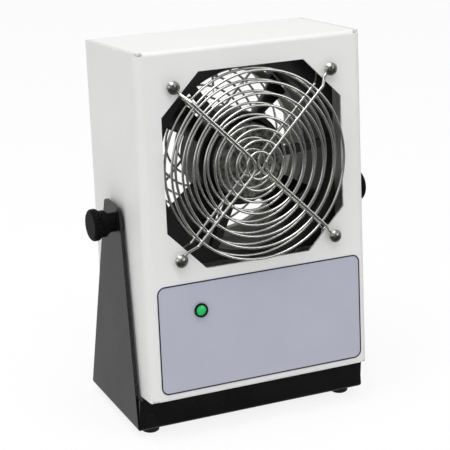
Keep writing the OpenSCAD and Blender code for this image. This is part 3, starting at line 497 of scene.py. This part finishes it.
@dataclass
class FrontLabel:
    """What is printed on the front label.

    Attributes:
        lean: The housing's axes.
        border: Width of the printed border line.
        corner: Radius of the label's corners.
        lift: Height of the print over the film.
    """

    lean: Lean
    border: float = 0.85 * MM
    corner: float = 5 * MM
    lift: float = 0.03 * MM

    def build(self) -> None:
        """Adds the border."""
        low, high = self.lean.own("front_label")
        width, height = high.x - low.x, high.z - low.z
        middle = Vector(((low.x + high.x) / 2, low.y - self.lift, (low.z + high.z) / 2))
        outer = round_outline(width, height, self.corner)
        inner = round_outline(width - 2 * self.border, height - 2 * self.border, self.corner - self.border)
        mesh = bmesh.new()
        ring_between(mesh, outer, inner, self.lean.place(self.lean.world(middle)))
        new_piece("label_border", mesh, INK_BLACK, Body.HOUSING)


@dataclass
class HubPlate:
    """The pressed detail on the disc that closes the motor.

    Attributes:
        lean: The housing's axes.
        rise: Height of the pressed rings.
        rings: Radius and width of each ring, as shares of the disc's radius.
        rivets: Number of rivets round the middle.
        rivet_pitch: Radius of the circle of rivets, as a share of the disc's radius.
        rivet_turn: Turn of the first rivet, as a share of the step between two.
        rivet_foot: Radius of a rivet where it meets the disc.
        rivet_brow: Radius of a rivet where its flat top begins.
    """

    lean: Lean
    rise: float = 0.18 * MM
    rings: tuple[tuple[float, float], ...] = ((0.95, 0.05), (0.62, 0.025), (0.30, 0.05))
    rivets: int = 3
    rivet_pitch: float = 0.46
    rivet_turn: float = 0.2
    rivet_foot: float = 1.3 * MM
    rivet_brow: float = 0.9 * MM

    def build(self) -> None:
        """Adds the rings and the rivets."""
        low, high = self.lean.own("fan_hub_plate")
        radius = (high.x - low.x) / 2
        middle = Vector(((low.x + high.x) / 2, low.y, (low.z + high.z) / 2))
        place = self.lean.place(self.lean.world(middle))
        mesh = bmesh.new()
        for at, width in self.rings:
            inner, outer = (at - width / 2) * radius, (at + width / 2) * radius
            slope = self.rise * 0.8
            top = [(inner + slope, -self.rise), (outer - slope, -self.rise)]
            lathe(mesh, [(inner, 0), *top, (outer, 0)], place)
        for k in range(self.rivets):
            angle = 2 * math.pi * (k + self.rivet_turn) / self.rivets
            shift = Vector((math.cos(angle), 0, math.sin(angle))) * radius * self.rivet_pitch
            brow = (self.rivet_brow, -2.2 * self.rise)
            dome = [(AXIS_GAP, 0), (AXIS_GAP, -3 * self.rise), brow, (self.rivet_foot, 0)]
            lathe(mesh, dome, place @ Matrix.Translation(shift), 20)
        new_piece("hub_plate_pressing", mesh, HUB_PLATE, Body.HOUSING, smooth=True)


@dataclass
class SwitchMarks:
    """The bar and the ring moulded white into the two ends of the rocker.

    Attributes:
        lean: The housing's axes.
        size: Height of a mark.
        line: Width of its line.
        rise: How far a mark stands off the rocker.
        crest_band: Depth below the rocker's crest that counts as its face.
        past_middle: How far each face reaches over the rocker's middle.
    """

    lean: Lean
    size: float = 2.6 * MM
    line: float = 0.5 * MM
    rise: float = 0.04 * MM
    crest_band: float = 3 * MM
    past_middle: float = 1 * MM

    def build(self) -> None:
        """Adds both marks on the faces of the rocker."""
        low, high = self.lean.own("switch_rocker")
        data = self.lean.frame["nodes"]["switch_rocker"].data
        turn = Matrix((self.lean.across, self.lean.back, self.lean.up))
        points = [turn @ (v.co - self.lean.pivot) for v in data.vertices]
        crest = {
            end: max((p for p in points if (p.z - (low.z + high.z) / 2) * end > 0), key=lambda p: p.y)
            for end in (1, -1)
        }
        middle = Vector(((low.x + high.x) / 2, 0, (low.z + high.z) / 2))
        mesh = bmesh.new()
        for end in (1, -1):
            near = [p for p in points if p.y > crest[end].y - self.crest_band]
            face = [p for p in near if (p.z - middle.z) * end > -self.past_middle]
            outer = max(face, key=lambda p: p.z * end)
            inner = min(face, key=lambda p: abs(p.z - middle.z))
            centre = Vector((middle.x, (outer.y + inner.y) / 2, (outer.z + inner.z) / 2))
            along = Vector((0, outer.y - inner.y, outer.z - inner.z)).normalized() * end
            facing = Vector((1, 0, 0)).cross(along).normalized()
            if facing.y > 0:
                facing = -facing
            axes = [self.lean.across, None, None]
            axes[1] = self.lean.back * facing.y + self.lean.up * facing.z
            axes[2] = self.lean.back * along.y + self.lean.up * along.z
            place = Matrix.Translation(self.lean.world(centre)) @ Matrix(axes).transposed().to_4x4()
            if end > 0:
                half = self.size / 2
                bore = half - self.line
                lathe(mesh, [(bore, 0), (bore, -self.rise), (half, -self.rise), (half, 0)], place, 32)
            else:
                w, h = self.line / 2, self.size / 2
                bar = [Vector((-w, 0, -h)), Vector((w, 0, -h)), Vector((w, 0, h)), Vector((-w, 0, h))]
                plate(mesh, bar, self.rise, place)
        new_piece("rocker_marks", mesh, INK_WHITE, Body.ROCKER)


@dataclass
class KnobPointer:
    """The white line inlaid in the speed knob's face.

    Attributes:
        lean: The housing's axes.
        turn: Direction of the line, in degrees from +X towards +Z.
        width: Width of the line.
        thick: Thickness of the inlay.
        sunk: How far its lower face lies under the knob's top.
        ends: Distance of its two ends from the knob's rim.
    """

    lean: Lean
    turn: float = -135.0
    width: float = 0.8 * MM
    thick: float = 0.3 * MM
    sunk: float = 0.12 * MM
    ends: tuple[float, float] = (6.8 * MM, 2.7 * MM)

    def build(self) -> None:
        """Adds the line, flush in its groove."""
        low, high = self.lean.own("speed_knob")
        middle = Vector(((low.x + high.x) / 2, high.y - self.sunk, (low.z + high.z) / 2))
        radius = (high.x - low.x) / 2
        angle = math.radians(self.turn)
        way = Vector((math.cos(angle), 0, math.sin(angle)))
        side = Vector((-way.z, 0, way.x)) * self.width / 2
        first, last = (way * (radius - end) for end in self.ends)
        mesh = bmesh.new()
        outline = [first - side, last - side, last + side, first + side]
        plate(mesh, outline, self.thick, self.lean.place(self.lean.world(middle)))
        new_piece("speed_pointer", mesh, INK_WHITE, Body.SPEED_KNOB)


@dataclass
class Studio:
    """Camera, floor and lights.

    Attributes:
        aim: Point that the camera and the lights look at.
        turn: Direction of the view, in degrees from +Y towards +X.
        rise: Height of the camera over the aim, in degrees.
        roll: Turn of the camera about its own axis, in degrees.
        distance: From the camera to the aim.
        lens: Focal length, in millimetres on a sensor 36 mm wide.
        floor_white: Share of plain white in what the camera sees of the floor.
        ambient: Strength of the world's light from low in front, low behind and above.
        lamps: Name, place, size and power of each square lamp.
    """

    aim: Vector = field(default_factory=lambda: Vector((-2.05, 0, 115.69)) * MM)
    turn: float = 25.831
    rise: float = 20.450
    roll: float = 0.591
    distance: float = 1.06312
    lens: float = 134.586
    floor_white: float = 0.86
    ambient: Triple = (0.06, 0.62, 0.66)
    lamps: tuple[tuple[str, Triple, float, float], ...] = (
        ("key_top", (-0.3, -0.3, 1.7), 1.1, 17.0),
        ("fill_left", (-1.7, -0.7, 0.75), 0.9, 2.8),
        ("fill_right", (1.2, -1.6, 0.7), 0.8, 4.1),
    )

    def camera(self) -> None:
        """Sets the camera at the viewing angle."""
        data = bpy.data.cameras.new("camera")
        data.lens = self.lens
        data.sensor_width = 36.0
        made = bpy.data.objects.new("camera", data)
        turn, rise = math.radians(self.turn), math.radians(self.rise)
        forward = Vector((math.sin(turn) * math.cos(rise), math.cos(turn) * math.cos(rise), -math.sin(rise)))
        made.rotation_mode = "QUATERNION"
        facing = forward.to_track_quat("-Z", "Y")
        made.rotation_quaternion = facing @ Matrix.Rotation(math.radians(self.roll), 4, "Z").to_quaternion()
        made.location = self.aim - forward * self.distance
        bpy.context.scene.collection.objects.link(made)
        bpy.context.scene.camera = made

    def floor(self) -> None:
        """Adds the pale floor."""
        mesh = bmesh.new()
        bmesh.ops.create_grid(mesh, x_segments=2, y_segments=2, size=3.0)
        data = bpy.data.meshes.new("floor")
        mesh.to_mesh(data)
        mesh.free()
        made = bpy.data.objects.new("floor", data)
        bpy.context.scene.collection.objects.link(made)
        material = bpy.data.materials.new("floor_pale")
        material.use_nodes = True
        graph = Graph(material.node_tree)
        matt = graph.node("ShaderNodeBsdfDiffuse", {"Color": (0.9, 0.9, 0.9, 1.0)})
        white = graph.node("ShaderNodeEmission", {"Color": (1, 1, 1, 1), "Strength": 1.0})
        seen = graph.node("ShaderNodeLightPath", output="Is Camera Ray") * self.floor_white
        graph.close(graph.node("ShaderNodeMixShader", {0: seen, 1: matt, 2: white}))
        data.materials.append(material)
        made.visible_glossy = False

    def light(self, name: str, place: Triple, size: float, power: float) -> None:
        """Adds one square soft light that looks at the object.

        Args:
            name: Name of the light.
            place: Its place.
            size: Length of its side.
            power: Its power, in watts.
        """
        data = bpy.data.lights.new(name, "AREA")
        data.size = size
        data.energy = power
        made = bpy.data.objects.new(name, data)
        made.location = Vector(place)
        made.rotation_mode = "QUATERNION"
        made.rotation_quaternion = (self.aim - made.location).to_track_quat("-Z", "Y")
        bpy.context.scene.collection.objects.link(made)

    def world(self) -> None:
        """White behind the object for the camera, soft grey from below to above for the rest."""
        world = bpy.data.worlds.new("studio")
        bpy.context.scene.world = world
        world.use_nodes = True
        graph = Graph(world.node_tree)
        path = graph.node("ShaderNodeLightPath", output="Is Camera Ray")
        _, depth, height = graph.parts(graph.node("ShaderNodeTexCoord", output="Generated"))
        front, back, above = self.ambient
        low = depth.clamp_range(-0.5, 0.6, front, back)
        high = height.clamp_range(-0.2, 0.7)
        strength = low * (1.0 - high) + high * above
        ambient = graph.node("ShaderNodeBackground", {"Color": (1, 1, 1, 1), "Strength": strength})
        white = graph.node("ShaderNodeBackground", {"Color": (1, 1, 1, 1), "Strength": 1.0})
        mixed = graph.node("ShaderNodeMixShader", {0: path, 1: ambient, 2: white})
        graph.close(mixed, "ShaderNodeOutputWorld")

    def build(self) -> None:
        """Sets the whole studio."""
        self.camera()
        self.floor()
        for lamp in self.lamps:
            self.light(*lamp)
        self.world()
        bpy.context.scene.view_settings.view_transform = "Standard"


def dress(frame: dict) -> None:
    """Gives every CAD node its finish.
    """
    for name, piece in frame["nodes"].items():
        data = piece.data
        data.materials.clear()
        data.materials.append(NODE_FINISH[name].material())


def main() -> None:
    """Builds the scene."""
    logging.basicConfig(level=logging.INFO)
    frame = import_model()
    Studio().build()
    dress(frame)
    lean = Lean(frame)
    for assembly in (FrontLabel(lean), HubPlate(lean), SwitchMarks(lean), KnobPointer(lean)):
        assembly.build()


if __name__ == "__main__":
    main()
